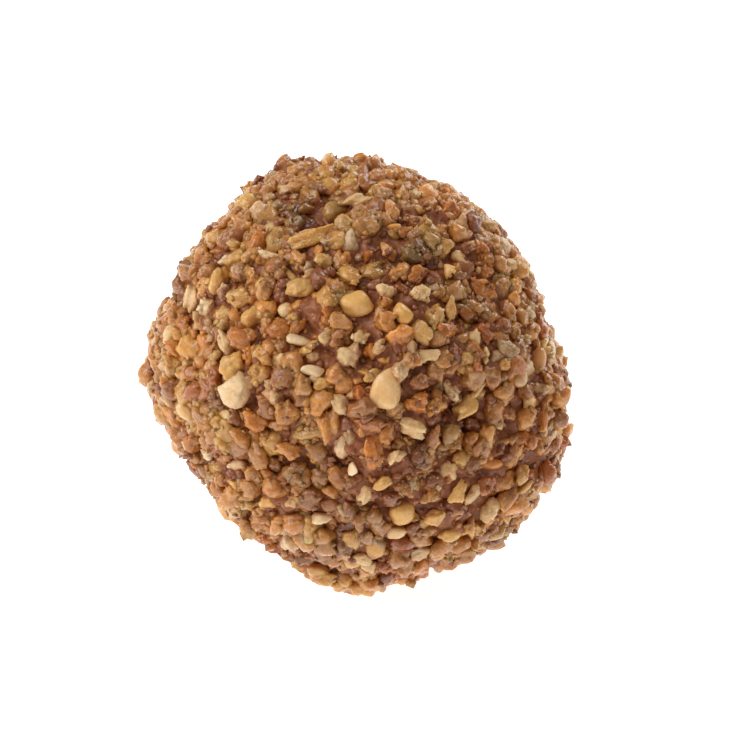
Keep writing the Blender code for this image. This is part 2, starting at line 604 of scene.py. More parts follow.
CUTS = {
    Kind.GOLDEN: Cut(
        share=0.17,
        tints=(Tint.HONEY, Tint.GOLD, Tint.STRAW),
        finish=NutFinish("golden_nut"),
        size=1.62,
    ),
    Kind.HONEY: Cut(
        share=0.185,
        tints=(Tint.HONEY, Tint.TAN, Tint.STRAW),
        finish=NutFinish("honey_nut"),
        size=1.60,
    ),
    Kind.BROWN: Cut(
        share=0.225,
        tints=(Tint.TAN, Tint.UMBER, Tint.HONEY, Tint.HONEY),
        finish=NutFinish("brown_nut"),
        size=1.56,
    ),
    Kind.TOASTED: Cut(
        share=0.13,
        tints=(Tint.AMBER, Tint.RUST, Tint.AMBER, Tint.UMBER),
        finish=NutFinish("toasted_nut", cloud=0.8),
        size=1.50,
    ),
    Kind.PALE: Cut(
        share=0.08,
        tints=(Tint.CREAM, Tint.STRAW, Tint.IVORY, Tint.CREAM),
        finish=NutFinish(
            "pale_nut", roughness=0.36, cloud=0.6, painted_shade_and_highlight=0.30, relief=0.09, grain=0.02, glow=0.3, warmth=NEUTRAL, glaze=0.12
        ),
        size=1.20,
        thick=(0.45, 0.70),
        blocks=2,
        apart=(0.16, 0.34),
        tilt=20.0,
        light=0.87,
    ),
    Kind.GLASSY: Cut(
        share=0.10,
        tints=(Tint.GREY, Tint.GREY, Tint.TAN),
        finish=NutFinish(
            "glassy_nut", roughness=0.24, cloud=0.8, painted_shade_and_highlight=0.45, relief=0.14, glow=0.5, warmth=NEUTRAL
        ),
        size=1.25,
        blocks=2,
        apart=(0.20, 0.40),
        light=0.86,
    ),
    Kind.KERNEL: Cut(
        share=0.008,
        tints=(Tint.GOLD, Tint.CREAM, Tint.GOLD),
        finish=NutFinish(
            "kernel", roughness=0.30, cloud=0.5, painted_shade_and_highlight=0.12, relief=0.04, grain=0.006, glow=0.3, warmth=NEUTRAL, glaze=0.12
        ),
        size=1.40,
        wide=(0.80, 0.98),
        thick=(0.65, 0.85),
        blocks=1,
        apart=(0.0, 0.1),
        near=0.90,
        faces=12,
        crisp=5.0,
        lumps=0.04,
        grit=0.006,
        tilt=15.0,
        light=0.95,
    ),
    Kind.OVAL: Cut(
        share=0.008,
        tints=(Tint.IVORY,),
        finish=NutFinish(
            "pale_oval", roughness=0.28, cloud=0.4, painted_shade_and_highlight=0.10, relief=0.02, grain=0.004, glow=0.3, warmth=NEUTRAL, glaze=0.12
        ),
        size=1.20,
        wide=(0.48, 0.62),
        thick=(0.40, 0.55),
        blocks=1,
        apart=(0.0, 0.1),
        near=0.80,
        faces=7,
        crisp=5.0,
        lumps=0.06,
        grit=0.005,
        tilt=15.0,
        light=0.90,
    ),
    Kind.SPLINTER: Cut(
        share=0.05,
        tints=(Tint.TAN, Tint.STRAW, Tint.HONEY, Tint.CREAM),
        finish=NutFinish("nut_splinter", relief=0.12),
        blocks=2,
        apart=(0.20, 0.40),
        size=1.85,
        wide=(0.38, 0.54),
        thick=(0.30, 0.46),
        tilt=24.0,
    ),
    Kind.LUMP: Cut(
        share=0.02,
        tints=(Tint.COCOA,),
        finish=NutFinish("chocolate_coated_nut", painted_shade_and_highlight=0.4, relief=0.14, glow=0.3),
        size=1.25,
        crisp=5.0,
    ),
}


@dataclass(frozen=True)
class Shown:
    """A grain that stands out on the shown side, measured as it is seen."""

    kind: Kind
    right: float  # of the middle of the ball, in millimetres
    up: float  # of the middle of the ball, in millimetres
    long: float  # millimetres
    wide: float  # millimetres
    turn: float = 0.0  # degrees that its long side is turned, anticlockwise
    tint: Tint | None = None  # where it isn't one of its kind's own


# Some pale grains that lie in shade, most of them right of the middle, are tinted CREAM rather than IVORY: a
# painted warmer shade
SHOWN = (
    Shown(Kind.KERNEL, -4.1, 14.0, 1.6, 1.3, tint=Tint.GOLD),
    Shown(Kind.GLASSY, -8.3, 12.0, 1.5, 1.2, 60, Tint.IVORY),
    Shown(Kind.GOLDEN, -6.3, 12.6, 1.5, 1.3, 30, Tint.TAN),
    Shown(Kind.GOLDEN, -6.5, 11.1, 1.5, 1.2, 0, Tint.STRAW),
    Shown(Kind.GOLDEN, -5.3, 10.8, 1.4, 1.1, 0, Tint.STRAW),
    Shown(Kind.GLASSY, -2.4, 12.0, 1.1, 0.8, 90),
    Shown(Kind.GOLDEN, -1.0, 12.1, 1.2, 1.2, 0, Tint.TAN),
    Shown(Kind.KERNEL, -0.5, 13.3, 2.0, 1.1, 0, Tint.STRAW),
    Shown(Kind.PALE, 0.2, 11.5, 2.7, 1.1, 20, Tint.CREAM),
    Shown(Kind.SPLINTER, -3.2, 8.9, 3.7, 1.3, 20, Tint.GOLD),
    Shown(Kind.PALE, -6.3, 7.5, 2.4, 0.9, -25, Tint.IVORY),
    Shown(Kind.GOLDEN, -4.3, 7.2, 1.6, 1.2, 90, Tint.HONEY),
    Shown(Kind.PALE, -4.2, 5.3, 2.1, 1.6, 35, Tint.STRAW),
    Shown(Kind.GOLDEN, -2.5, 7.2, 1.5, 1.2, 20, Tint.STRAW),
    Shown(Kind.GOLDEN, -1.2, 7.3, 1.7, 1.3, 80, Tint.HONEY),
    Shown(Kind.TOASTED, -11.6, 7.1, 1.6, 1.3, 30, Tint.AMBER),
    Shown(Kind.TOASTED, -11.6, 8.3, 1.7, 1.0, 10, Tint.AMBER),
    Shown(Kind.GLASSY, -9.3, 7.2, 1.2, 0.9, 0, Tint.IVORY),
    Shown(Kind.PALE, -11.8, 4.5, 2.2, 1.5, 70, Tint.CREAM),
    Shown(Kind.GLASSY, -12.4, 5.7, 1.1, 0.9, 0, Tint.GREY),
    Shown(Kind.PALE, -9.6, 5.0, 1.5, 0.9, 90, Tint.IVORY),
    Shown(Kind.GLASSY, -10.8, 3.8, 1.6, 1.3, 60, Tint.IVORY),
    Shown(Kind.GLASSY, -11.2, 2.6, 1.4, 1.1, 60, Tint.CREAM),
    Shown(Kind.GOLDEN, -8.4, 4.6, 2.0, 1.6, 10, Tint.STRAW),
    Shown(Kind.PALE, -9.5, 1.4, 2.0, 1.0, -50, Tint.CREAM),
    Shown(Kind.TOASTED, -8.2, 1.7, 2.4, 1.7, 0, Tint.AMBER),
    Shown(Kind.GOLDEN, -6.5, 2.7, 1.6, 1.0, 70, Tint.TAN),
    Shown(Kind.OVAL, -4.2, 1.6, 1.8, 0.8, -8),
    Shown(Kind.GLASSY, -2.4, 1.8, 1.2, 1.0, 90, Tint.CREAM),
    Shown(Kind.KERNEL, -0.1, 4.2, 2.4, 1.9, 0, Tint.STRAW),
    Shown(Kind.PALE, -0.6, 0.6, 1.9, 1.8, 60, Tint.CREAM),
    Shown(Kind.TOASTED, 0.6, 7.7, 1.3, 0.9, 90, Tint.AMBER),
    Shown(Kind.GOLDEN, 2.4, 10.7, 1.8, 1.0, 100, Tint.HONEY),
    Shown(Kind.GLASSY, 3.7, 10.9, 1.4, 1.1, -10, Tint.GREY),
    Shown(Kind.GLASSY, 3.9, 10.0, 1.6, 0.9, -20, Tint.UMBER),
    Shown(Kind.GOLDEN, 5.1, 11.0, 1.8, 1.3, 80, Tint.HONEY),
    Shown(Kind.TOASTED, 6.6, 10.8, 1.9, 1.4, 60, Tint.AMBER),
    Shown(Kind.PALE, 5.1, 12.5, 2.0, 1.2, -20, Tint.STRAW),
    Shown(Kind.KERNEL, 2.5, 9.5, 1.1, 0.7, 0, Tint.HONEY),
    Shown(Kind.GLASSY, 2.2, 7.9, 1.5, 1.2, 90, Tint.TAN),
    Shown(Kind.GLASSY, 5.9, 9.2, 1.3, 1.0, 90, Tint.TAN),
    Shown(Kind.TOASTED, 2.9, 6.5, 1.5, 1.4, 0, Tint.HONEY),
    Shown(Kind.TOASTED, 4.2, 6.3, 1.7, 1.3, 10, Tint.AMBER),
    Shown(Kind.PALE, 1.9, 5.1, 1.3, 1.1, 0, Tint.CREAM),
    Shown(Kind.GLASSY, 4.5, 4.9, 1.5, 1.3, 30, Tint.CREAM),
    Shown(Kind.OVAL, 6.4, 6.4, 1.1, 0.8, 80, Tint.STRAW),
    Shown(Kind.PALE, 7.2, 7.3, 1.5, 1.2, -40, Tint.CREAM),
    Shown(Kind.TOASTED, 8.5, 8.1, 1.6, 1.1, 0, Tint.AMBER),
    Shown(Kind.TOASTED, 8.9, 6.7, 1.7, 1.4, 90, Tint.AMBER),
    Shown(Kind.TOASTED, 8.7, 5.0, 2.1, 1.6, -20, Tint.AMBER),
    Shown(Kind.KERNEL, 3.2, 3.5, 1.6, 1.2, 125, Tint.GOLD),
    Shown(Kind.PALE, 4.6, 2.1, 2.0, 1.4, 120, Tint.STRAW),
    Shown(Kind.GLASSY, 6.6, 3.8, 2.0, 0.9, 80, Tint.STRAW),
    Shown(Kind.TOASTED, 8.9, 2.1, 1.6, 1.3, -20, Tint.RUST),
    Shown(Kind.SPLINTER, 10.6, 3.6, 1.8, 0.9, 110, Tint.TAN),
    Shown(Kind.PALE, 11.6, 1.6, 1.4, 0.6, -20, Tint.CREAM),
    Shown(Kind.KERNEL, 12.8, 0.1, 2.0, 1.2, 80, Tint.TAN),
    Shown(Kind.GOLDEN, 9.6, 9.5, 1.6, 1.1, 100, Tint.TAN),
    Shown(Kind.GLASSY, 0.2, 1.8, 1.3, 1.1, 0, Tint.CREAM),
    Shown(Kind.GLASSY, 1.5, 1.1, 1.2, 1.0, 20, Tint.GREY),
    Shown(Kind.PALE, 4.9, 0.5, 1.9, 1.1, 10, Tint.CREAM),
    Shown(Kind.SPLINTER, 9.0, 0.5, 1.3, 0.6, 70, Tint.CREAM),
    Shown(Kind.PALE, -8.6, -2.0, 2.8, 2.3, 40, Tint.IVORY),
    Shown(Kind.PALE, -8.8, -0.2, 2.3, 1.8, 50, Tint.GOLD),
    Shown(Kind.GOLDEN, -7.1, -0.9, 1.8, 1.5, 60, Tint.GOLD),
    Shown(Kind.OVAL, -3.3, -0.6, 1.7, 0.8, -10),
    Shown(Kind.PALE, -1.3, -3.0, 1.9, 1.3, -60, Tint.CREAM),
    Shown(Kind.PALE, -14.3, -0.8, 1.8, 0.9, 85, Tint.STRAW),
    Shown(Kind.KERNEL, -12.3, -3.5, 1.7, 1.0, -60, Tint.CREAM),
    Shown(Kind.GLASSY, -10.7, -6.5, 1.3, 1.0, 0, Tint.IVORY),
    Shown(Kind.OVAL, -8.5, -7.3, 1.7, 1.25, 0),
    Shown(Kind.TOASTED, -5.0, -6.3, 1.9, 1.2, -10, Tint.HONEY),
    Shown(Kind.TOASTED, -7.3, -4.2, 2.0, 1.6, 0, Tint.AMBER),
    Shown(Kind.GOLDEN, -5.0, -3.6, 1.9, 1.7, 0, Tint.HONEY),
    Shown(Kind.GOLDEN, -2.1, -4.6, 2.6, 1.6, 95, Tint.HONEY),
    Shown(Kind.TOASTED, -3.3, -6.8, 0.9, 0.9, 0, Tint.AMBER),
    Shown(Kind.GLASSY, -8.6, -10.5, 1.8, 1.5, 0, Tint.CREAM),
    Shown(Kind.PALE, -6.4, -9.9, 1.3, 1.2, 0, Tint.STRAW),
    Shown(Kind.PALE, -4.8, -9.9, 1.2, 1.1, 80, Tint.CREAM),
    Shown(Kind.OVAL, -2.6, -11.1, 1.6, 0.9, 0),
    Shown(Kind.TOASTED, -6.3, -12.6, 1.5, 1.0, 80, Tint.AMBER),
    Shown(Kind.PALE, -5.0, -12.9, 1.3, 1.0, 0, Tint.CREAM),
    Shown(Kind.GOLDEN, -2.5, -15.1, 2.3, 1.8, 10, Tint.STRAW),
    Shown(Kind.PALE, -1.9, -9.2, 1.5, 1.0, -10, Tint.TAN),
    Shown(Kind.OVAL, -0.4, -7.6, 1.0, 0.7, 90),
    # Tinted BUTTER, paler than its own colour, as painted light where the lamps light it too little
    Shown(Kind.KERNEL, 2.1, -1.9, 2.9, 2.2, 70, Tint.BUTTER),
    Shown(Kind.GOLDEN, 0.8, -0.9, 1.6, 1.2, -20, Tint.STRAW),
    Shown(Kind.TOASTED, 4.2, -3.0, 1.9, 1.4, 20, Tint.AMBER),
    Shown(Kind.GOLDEN, 5.4, -3.2, 1.4, 1.1, 30, Tint.HONEY),
    Shown(Kind.TOASTED, 1.1, -6.2, 2.9, 1.4, 95, Tint.AMBER),
    Shown(Kind.TOASTED, 2.0, -5.0, 1.6, 1.3, 60, Tint.AMBER),
    Shown(Kind.GLASSY, 3.9, -4.7, 2.2, 1.3, -25, Tint.CREAM),
    Shown(Kind.GOLDEN, 5.3, -5.5, 2.3, 1.1, 70, Tint.TAN),
    Shown(Kind.GLASSY, 2.7, -6.8, 1.3, 1.2, 60, Tint.CREAM),
    Shown(Kind.PALE, 6.2, -7.7, 1.9, 1.6, 10, Tint.CREAM),
    Shown(Kind.PALE, 7.1, -9.2, 1.9, 1.2, 65, Tint.STRAW),
    Shown(Kind.TOASTED, 5.3, -9.3, 1.4, 1.1, 90, Tint.HONEY),
    Shown(Kind.TOASTED, 9.0, -8.7, 1.4, 1.3, 0, Tint.RUST),
    Shown(Kind.KERNEL, 9.3, -7.2, 2.2, 0.9, -5, Tint.AMBER),
    Shown(Kind.PALE, 10.9, -6.7, 2.2, 1.2, 75, Tint.GOLD),
    Shown(Kind.GOLDEN, 11.6, -8.0, 1.6, 1.2, 80, Tint.STRAW),
    Shown(Kind.SPLINTER, 10.1, -5.7, 2.7, 0.9, 15, Tint.TAN),
    Shown(Kind.KERNEL, 11.4, -1.2, 1.4, 1.2, 0, Tint.GREY),
    Shown(Kind.GLASSY, 12.9, -1.9, 1.4, 1.1, 0, Tint.GREY),
    Shown(Kind.PALE, 7.6, -3.3, 2.1, 1.4, 40, Tint.STRAW),
    Shown(Kind.SPLINTER, 8.5, -1.9, 1.8, 0.5, 50, Tint.CREAM),
    Shown(Kind.GLASSY, 6.6, -2.0, 1.9, 0.8, -50, Tint.GREY),
    Shown(Kind.GOLDEN, 4.4, -1.4, 1.5, 1.2, 20, Tint.UMBER),
    Shown(Kind.GOLDEN, 10.6, -3.5, 1.4, 1.2, 0, Tint.UMBER),
    Shown(Kind.GOLDEN, 13.2, -3.9, 2.0, 0.9, 90, Tint.TAN),
    Shown(Kind.TOASTED, 13.6, -7.8, 2.0, 1.6, 80, Tint.RUST),
    Shown(Kind.PALE, 9.3, -10.4, 1.9, 1.6, 100, Tint.CREAM),
    Shown(Kind.PALE, 5.4, -11.0, 1.7, 1.2, 0, Tint.STRAW),
    Shown(Kind.GOLDEN, 7.9, -11.6, 1.6, 1.1, 90, Tint.STRAW),
    Shown(Kind.PALE, 6.4, -12.2, 1.6, 1.0, 20, Tint.STRAW),
    Shown(Kind.PALE, 4.3, -13.3, 1.7, 1.4, 30, Tint.GREY),
    Shown(Kind.OVAL, 2.8, -12.0, 1.6, 0.9, -5, Tint.CREAM),
    Shown(Kind.KERNEL, 1.2, -13.2, 1.7, 1.4, 90, Tint.GOLD),
    Shown(Kind.PALE, 0.3, -13.9, 1.5, 1.1, -20, Tint.CREAM),
    Shown(Kind.TOASTED, 5.6, -14.5, 1.1, 0.8, 0, Tint.AMBER),
    Shown(Kind.TOASTED, 2.0, -14.4, 1.8, 1.0, 10, Tint.AMBER),
    Shown(Kind.PALE, 0.4, -9.4, 1.5, 1.2, 60, Tint.CREAM),
    Shown(Kind.PALE, 1.7, -8.6, 1.5, 0.8, 30, Tint.STRAW),
    Shown(Kind.LUMP, 2.4, -9.8, 1.5, 1.3, 0),
)


@dataclass(frozen=True)
class Bare:
    """A patch of the shown side where the coat is thin and the chocolate shows."""

    right: float  # of the middle of the ball, in millimetres
    up: float  # of the middle of the ball, in millimetres
    radius: float  # millimetres


BARE = (
    Bare(-3.4, 11.7, 1.9),
    Bare(-4.7, 9.8, 0.8),
    Bare(-3.0, 13.2, 0.9),
    Bare(-6.5, 5.6, 0.8),
    Bare(-3.0, 6.3, 0.8),
    Bare(-3.6, 3.8, 1.1),
    Bare(0.8, 6.5, 0.9),
    Bare(7.6, 9.0, 1.0),
    Bare(5.6, 7.5, 1.1),
    Bare(3.2, 5.3, 0.6),
    Bare(5.6, 4.2, 0.8),
    Bare(1.2, 3.0, 1.0),
    Bare(2.6, 1.4, 0.8),
    Bare(8.2, 1.0, 0.9),
    Bare(-0.7, -4.9, 0.8),
    Bare(-5.8, -8.8, 0.8),
    Bare(-2.0, -7.3, 0.9),
    Bare(-4.2, -8.1, 0.9),
    Bare(6.7, -4.9, 1.4),
    Bare(9.3, -4.4, 1.6),
    Bare(11.8, -3.2, 1.0),
    Bare(12.5, -6.3, 0.7),
    Bare(10.1, -8.4, 0.8),
    Bare(7.9, -10.0, 0.6),
    Bare(9.1, -12.1, 1.0),
    Bare(2.5, -11.0, 0.7),
    Bare(3.6, -7.7, 0.9),
    Bare(-1.0, -12.4, 0.6),
    Bare(5.4, -1.9, 0.8),
)


def bare(outward: np.ndarray, side: ShownSide, chance: np.random.Generator) -> np.ndarray:
    """Finds the places that lie in a bare patch, whose edge is ragged.

    Args:
        outward: Unit vectors from the middle of the ball.
        side: The side on which the patches were measured.
        chance: Where the raggedness comes from.

    Returns:
        Whether each place lies in a patch.
    """
    inside = np.zeros(len(outward), bool)
    for patch in BARE:
        middle = side.direction(patch.right, patch.up, 15.0)
        away = np.linalg.norm(outward - middle, axis=1) * 15.0
        inside |= away < patch.radius * chance.uniform(0.8, 1.15, len(outward))
    return inside


@dataclass(frozen=True)
class RoastAndShading:
    """A part of the shown side where the strewn nuts are darker or paler than elsewhere: partly their uneven
    roast, partly painted shade and painted light.
    """

    right: float  # of the middle of the ball, in millimetres
    up: float  # of the middle of the ball, in millimetres
    light: float  # what their tint is multiplied by in the middle of the part
    radius: float = 2.6  # millimetres


# Darker and paler parts of the coat: partly uneven roast, partly painted shade and painted light
ROAST_AND_SHADING = (
    RoastAndShading(-4.0, -8.0, 0.62),
    RoastAndShading(-8.0, -8.0, 0.84),
    RoastAndShading(-12.0, -8.0, 0.84),
    RoastAndShading(-4.0, -4.0, 0.90),
    RoastAndShading(4.0, -8.0, 0.66),
    RoastAndShading(0.0, -12.0, 0.64),
    RoastAndShading(8.0, -4.0, 0.45),
    RoastAndShading(-10.0, -4.0, 0.88),
    RoastAndShading(-8.0, 0.5, 1.20),
    RoastAndShading(-8.0, 8.0, 0.90),
    RoastAndShading(-12.5, 8.0, 0.86),
    RoastAndShading(-8.0, 4.0, 1.12),
    RoastAndShading(6.0, 13.0, 1.12),
    RoastAndShading(0.0, 0.0, 1.26),
    RoastAndShading(4.0, 8.0, 0.42),
    RoastAndShading(8.0, 4.0, 0.84),
    RoastAndShading(8.0, 8.5, 0.86),
    RoastAndShading(-4.0, 12.0, 0.42),
    RoastAndShading(0.0, 12.5, 0.90),
    RoastAndShading(12.0, 0.0, 0.76),
    RoastAndShading(4.5, -12.5, 0.82),
    RoastAndShading(9.5, -12.0, 0.72),
    RoastAndShading(-4.0, -14.0, 0.80),
)


def toned(outward: np.ndarray, side: ShownSide) -> np.ndarray:
    """Adds up how much darker or paler the strewn nuts are, partly uneven roast and partly painted shade and
    light, each part fading by a bell curve.

    Args:
        outward: Unit vectors from the middle of the ball.
        side: The side on which the parts were measured.

    Returns:
        What the tint at each place is multiplied by, as a column.
    """
    light = np.ones((len(outward), 1))
    for tone in ROAST_AND_SHADING:
        middle = side.direction(tone.right, tone.up, 15.0)
        away = np.linalg.norm(outward - middle, axis=1, keepdims=True) * 15.0
        light += (tone.light - 1.0) * np.exp(-((away / tone.radius) ** 2))
    return light


# ---------------------------------------------------------------------------------------------
# The coat
# ---------------------------------------------------------------------------------------------


@dataclass
class Grains:
    """Many grains, with one row of each array for each."""

    kind: np.ndarray  # number of the kind, in the order of the Kind names
    place: np.ndarray  # of its middle, from the middle of the ball, in millimetres
    size: np.ndarray  # length, width and thickness, in millimetres
    axes: np.ndarray  # the unit vectors along its length, width and thickness
    tint: np.ndarray  # red, green and blue in linear light
    fixed: np.ndarray  # whether its place was chosen, and others give way to it

    @property
    def radius(self) -> np.ndarray:
        """The radius of a ball as big as each grain, in millimetres."""
        return 0.5 * np.cbrt(self.size.prod(axis=1))

    def kept(self, keep: np.ndarray) -> "Grains":
        """Only these grains."""
        return Grains(**{name: value[keep] for name, value in vars(self).items()})

    def joined(self, other: "Grains") -> "Grains":
        """These grains and then the others."""
        return Grains(
            **{name: np.concatenate([value, vars(other)[name]]) for name, value in vars(self).items()}
        )


KIND_NUMBERS = {kind: number for number, kind in enumerate(Kind)}


@dataclass
class Coat:
    """The chopped nuts, from the choice of grains to their finished meshes."""

    outline: Outline
    shown_side: ShownSide
    chance: np.random.Generator
    fill_count: int = 3800  # grains strewn over the ball, besides the shown ones
    depth: float = 1.35  # millimetres from the tops of the coat down to the bed that it lies on
    rounds: int = 90  # steps in which the grains settle
    closeness: float = 0.69  # how near two grains may come, as a share of their radii
    tint_stray: float = 0.10  # how much one grain's tint differs from the next
    shown_stray: float = 0.3  # share of that for the shown grains
    left_in_patch: float = 0.5  # share of the grains that stay in a bare patch
    patch_sink: float = 0.45  # millimetres that they sink
    grains: Grains = field(init=False)

    def shown_grains(self) -> Grains:
        """Lays out the grains that stand out on the shown side.

        A shown grain faces halfway between straight out and the eye, so that near the rim it
        still shows its measured size. Its top stands a little proud of the others.

        Returns:
            The shown grains.
        """
        side = self.shown_side
        kinds, places, sizes, axes, tints = [], [], [], [], []
        for shown in SHOWN:
            rough = side.direction(shown.right, shown.up, 15.0)
            reach = float(self.outline.reach(rough[None])[0])
            seen_from_middle = math.hypot(shown.right, shown.up) + 0.25 * shown.wide
            outward = side.direction(shown.right, shown.up, max(reach, seen_from_middle) - 0.4)
            cut = CUTS[shown.kind]
            thick = max(0.72 * shown.wide, 1.10)
            proud = min(0.25, thick - 1.05)
            facing = unit(outward + side.toward)
            turn = math.radians(shown.turn)
            along = side.right * math.cos(turn) + side.up * math.sin(turn)
            along = unit(along - facing * (along @ facing))
            tint = shown.tint or cut.tints[0]
            kinds.append(KIND_NUMBERS[shown.kind])
            places.append(outward * (reach + proud - 0.5 * thick))
            sizes.append((shown.long, shown.wide, thick))
            axes.append(np.stack([along, np.cross(facing, along), facing]))
            tints.append(linear(tint.value) * cut.light)
        return Grains(
            kind=np.array(kinds),
            place=np.array(places),
            size=np.array(sizes),
            axes=np.array(axes),
            tint=np.array(tints),
            fixed=np.ones(len(kinds), bool),
        )

    def strewn_grains(self) -> Grains:
        """Strews the other grains evenly over the ball, spaced by the golden angle.

        Returns:
            The strewn grains, not yet settled.
        """
        count, chance = self.fill_count, self.chance
        shares = np.array([CUTS[kind].share for kind in Kind])
        kind = chance.choice(len(shares), count, p=shares / shares.sum())
        size = np.empty((count, 3))
        tint = np.empty((count, 3))
        lean = np.empty(count)
        for number, name in enumerate(Kind):
            cut, rows = CUTS[name], np.flatnonzero(kind == number)
            length = cut.size * np.exp(cut.spread * chance.standard_normal(len(rows))) * 1.12
            size[rows, 0] = np.clip(length, 0.55 * cut.size, 1.45 * cut.size)
            size[rows, 1] = size[rows, 0] * chance.uniform(*cut.wide, len(rows))
            size[rows, 2] = size[rows, 0] * chance.uniform(*cut.thick, len(rows))
            palette = np.array([linear(tone.value) for tone in cut.tints])
            tint[rows] = palette[chance.integers(len(palette), size=len(rows))] * cut.light
            lean[rows] = math.radians(cut.tilt)

        height = 1.0 - (2.0 * np.arange(count) + 1.0) / count
        turn = np.arange(count) * math.pi * (3.0 - math.sqrt(5.0))
        level = np.sqrt(1.0 - height**2)
        outward = np.stack([level * np.cos(turn), level * np.sin(turn), height], axis=1)
        outward = unit(outward + 0.03 * chance.standard_normal((count, 3)))
        facing = unit(outward + np.tan(lean)[:, None] * 0.6 * chance.standard_normal((count, 3)))
        along = chance.standard_normal((count, 3))
        along = unit(along - facing * (along * facing).sum(axis=1, keepdims=True))
        return Grains(
            kind=kind,
            place=outward * (self.outline.reach(outward) - 0.5 * self.depth)[:, None],
            size=size,
            axes=np.stack([along, np.cross(facing, along), facing], axis=1),
            tint=tint,
            fixed=np.zeros(count, bool),
        )

    def settle(self, grains: Grains) -> None:
        """Moves the strewn grains until they lie side by side, a few on top of others.

        Two grains that come too close push each other apart along the line between them. A
        grain sinks towards the bed, but not into it, and its top stays under the outline. The
        shown grains don't move.

        Args:
            grains: The grains, whose places are changed.
        """
        radius, place = grains.radius, grains.place
        free = ~grains.fixed
        sunk = self.chance.uniform(0.2, 0.8, len(radius)) * radius
        proud = self.chance.uniform(-0.45, 0.45, len(radius))
        for step in range(self.rounds):
            if step % 10 == 0:
                outward = unit(place)
                top = self.outline.reach(outward)
                first, second = self.neighbours(place, radius)
                near = self.closeness * (radius[first] + radius[second])
            gap = place[second] - place[first]
            apart = np.linalg.norm(gap, axis=1) + 1e-6
            push = np.clip(near - apart, 0.0, None)[:, None] * gap / apart[:, None] * 0.5
            move = np.zeros_like(place)
            for axis in range(3):
                move[:, axis] += np.bincount(second, push[:, axis], len(place))
                move[:, axis] -= np.bincount(first, push[:, axis], len(place))
            longest = np.linalg.norm(move, axis=1, keepdims=True)
            move *= np.minimum(1.0, 0.25 / np.maximum(longest, 1e-6))
            place[free] += move[free]
            height = np.linalg.norm(place, axis=1)
            lowest = top - self.depth + sunk
            highest = np.maximum(top + proud - radius, lowest)
            settled = np.clip(height - 0.12 * (height - lowest), lowest, highest)
            place[free] *= (settled / height)[free][:, None]

    def neighbours(self, place: np.ndarray, radius: np.ndarray) -> tuple[np.ndarray, np.ndarray]:
        """Finds the pairs of grains that lie close enough to touch soon.

        Args:
            place: Where the grains are, in millimetres.
            radius: How big they are, in millimetres.

        Returns:
            The numbers of the first and of the second grain of each pair.
        """
        square = (place**2).sum(axis=1)
        apart = square[:, None] + square[None, :] - 2.0 * place @ place.T
        reach = radius[:, None] + radius[None, :] + 0.5
        return np.nonzero(np.triu(apart < reach**2, 1))

    def thin_out(self, grains: Grains) -> Grains:
        """Takes strewn grains from on top of the shown ones, and lets chocolate flood the patches.

        In a bare patch some grains are left out, and the rest sink and are coated.

        Args:
            grains: All the grains, settled.

        Returns:
            The grains that stay.
        """
        outward = unit(grains.place)
        shown = outward[grains.fixed]
        covered = grains.size[grains.fixed][:, :2].mean(axis=1) * 0.5
        away = np.linalg.norm(outward[:, None] - shown[None], axis=2) * 15.0
        keep = (away > covered[None] + 0.58 * grains.radius[:, None]).all(axis=1)
        flooded = bare(outward, self.shown_side, self.chance) & ~grains.fixed
        keep &= ~flooded | (self.chance.random(len(keep)) < self.left_in_patch)
        grains.place[flooded] -= self.patch_sink * outward[flooded]
        grains.kind[flooded] = KIND_NUMBERS[Kind.LUMP]
        grains.tint[flooded] = linear(Tint.COCOA.value) * CUTS[Kind.LUMP].light
        return grains.kept(keep | grains.fixed)

    def in_sight(self, grains: Grains) -> np.ndarray:
        """Finds the grains that can be seen from outside between the others.

        From points all over each grain a line runs straight out, and others lean from it all
        round. A point is in sight along a line that passes every neighbour's ball. A grain
        counts when enough of its points are in sight along some line.

        Args:
            grains: The grains, settled.

        Returns:
            Whether each grain is in sight.
        """
        spots = CubeBall(2).directions
        offsets = np.einsum("vk,gk,gkd->gvd", spots, grains.size / 2.0, grains.axes)
        first, second = self.neighbours(grains.place, grains.radius + 0.8)
        here, there = np.concatenate([first, second]), np.concatenate([second, first])
        outward = unit(grains.place)
        across = unit(np.cross(outward, [0.0, 0.0, 1.0]))
        round_it = np.cross(outward, across)
        gap = grains.place[there] - grains.place[here]
        size = 0.85 * grains.radius[there, None]
        seen = np.zeros((len(outward), len(spots)), bool)
        turns = np.linspace(0.0, 2.0 * math.pi, 5, endpoint=False)
        leans = [(0.0, 0.0)] + [(math.cos(turn), math.sin(turn)) for turn in turns]
        for lean_across, lean_round in leans:
            line = unit(outward + 0.9 * (across * lean_across + round_it * lean_round))
            to_neighbour = gap[:, None] - offsets[here]
            ahead = np.einsum("pvd,pd->pv", to_neighbour, line[here])
            aside = (to_neighbour**2).sum(axis=2) - ahead**2
            blocked = (ahead > 0.0) & (aside < size**2)
            own_back = np.einsum("gvd,gd->gv", offsets, line) < 0.0
            cells = here[:, None] * len(spots) + np.arange(len(spots))
            blocks = np.bincount(cells[blocked], minlength=seen.size).reshape(seen.shape)
            seen |= (blocks == 0) & ~own_back
        return seen.mean(axis=1) > 0.12

    def lay(self) -> None:
        """Chooses, strews and settles all the grains."""
        grains = self.shown_grains().joined(self.strewn_grains())
        self.settle(grains)
        grains = self.thin_out(grains)
        strewn = len(grains.kind)
        grains = grains.kept(self.in_sight(grains) | grains.fixed)
        LOG.info("%d of %d grains are in sight", len(grains.kind), strewn)
        loose = np.where(grains.fixed, self.shown_stray, 1.0)[:, None]
        stray = 1.0 + loose * self.tint_stray * self.chance.standard_normal((len(grains.kind), 1))
        change = loose * self.chance.standard_normal((len(grains.kind), 1))
        warmth = 1.0 + np.array([0.0, 0.04, 0.09]) * change
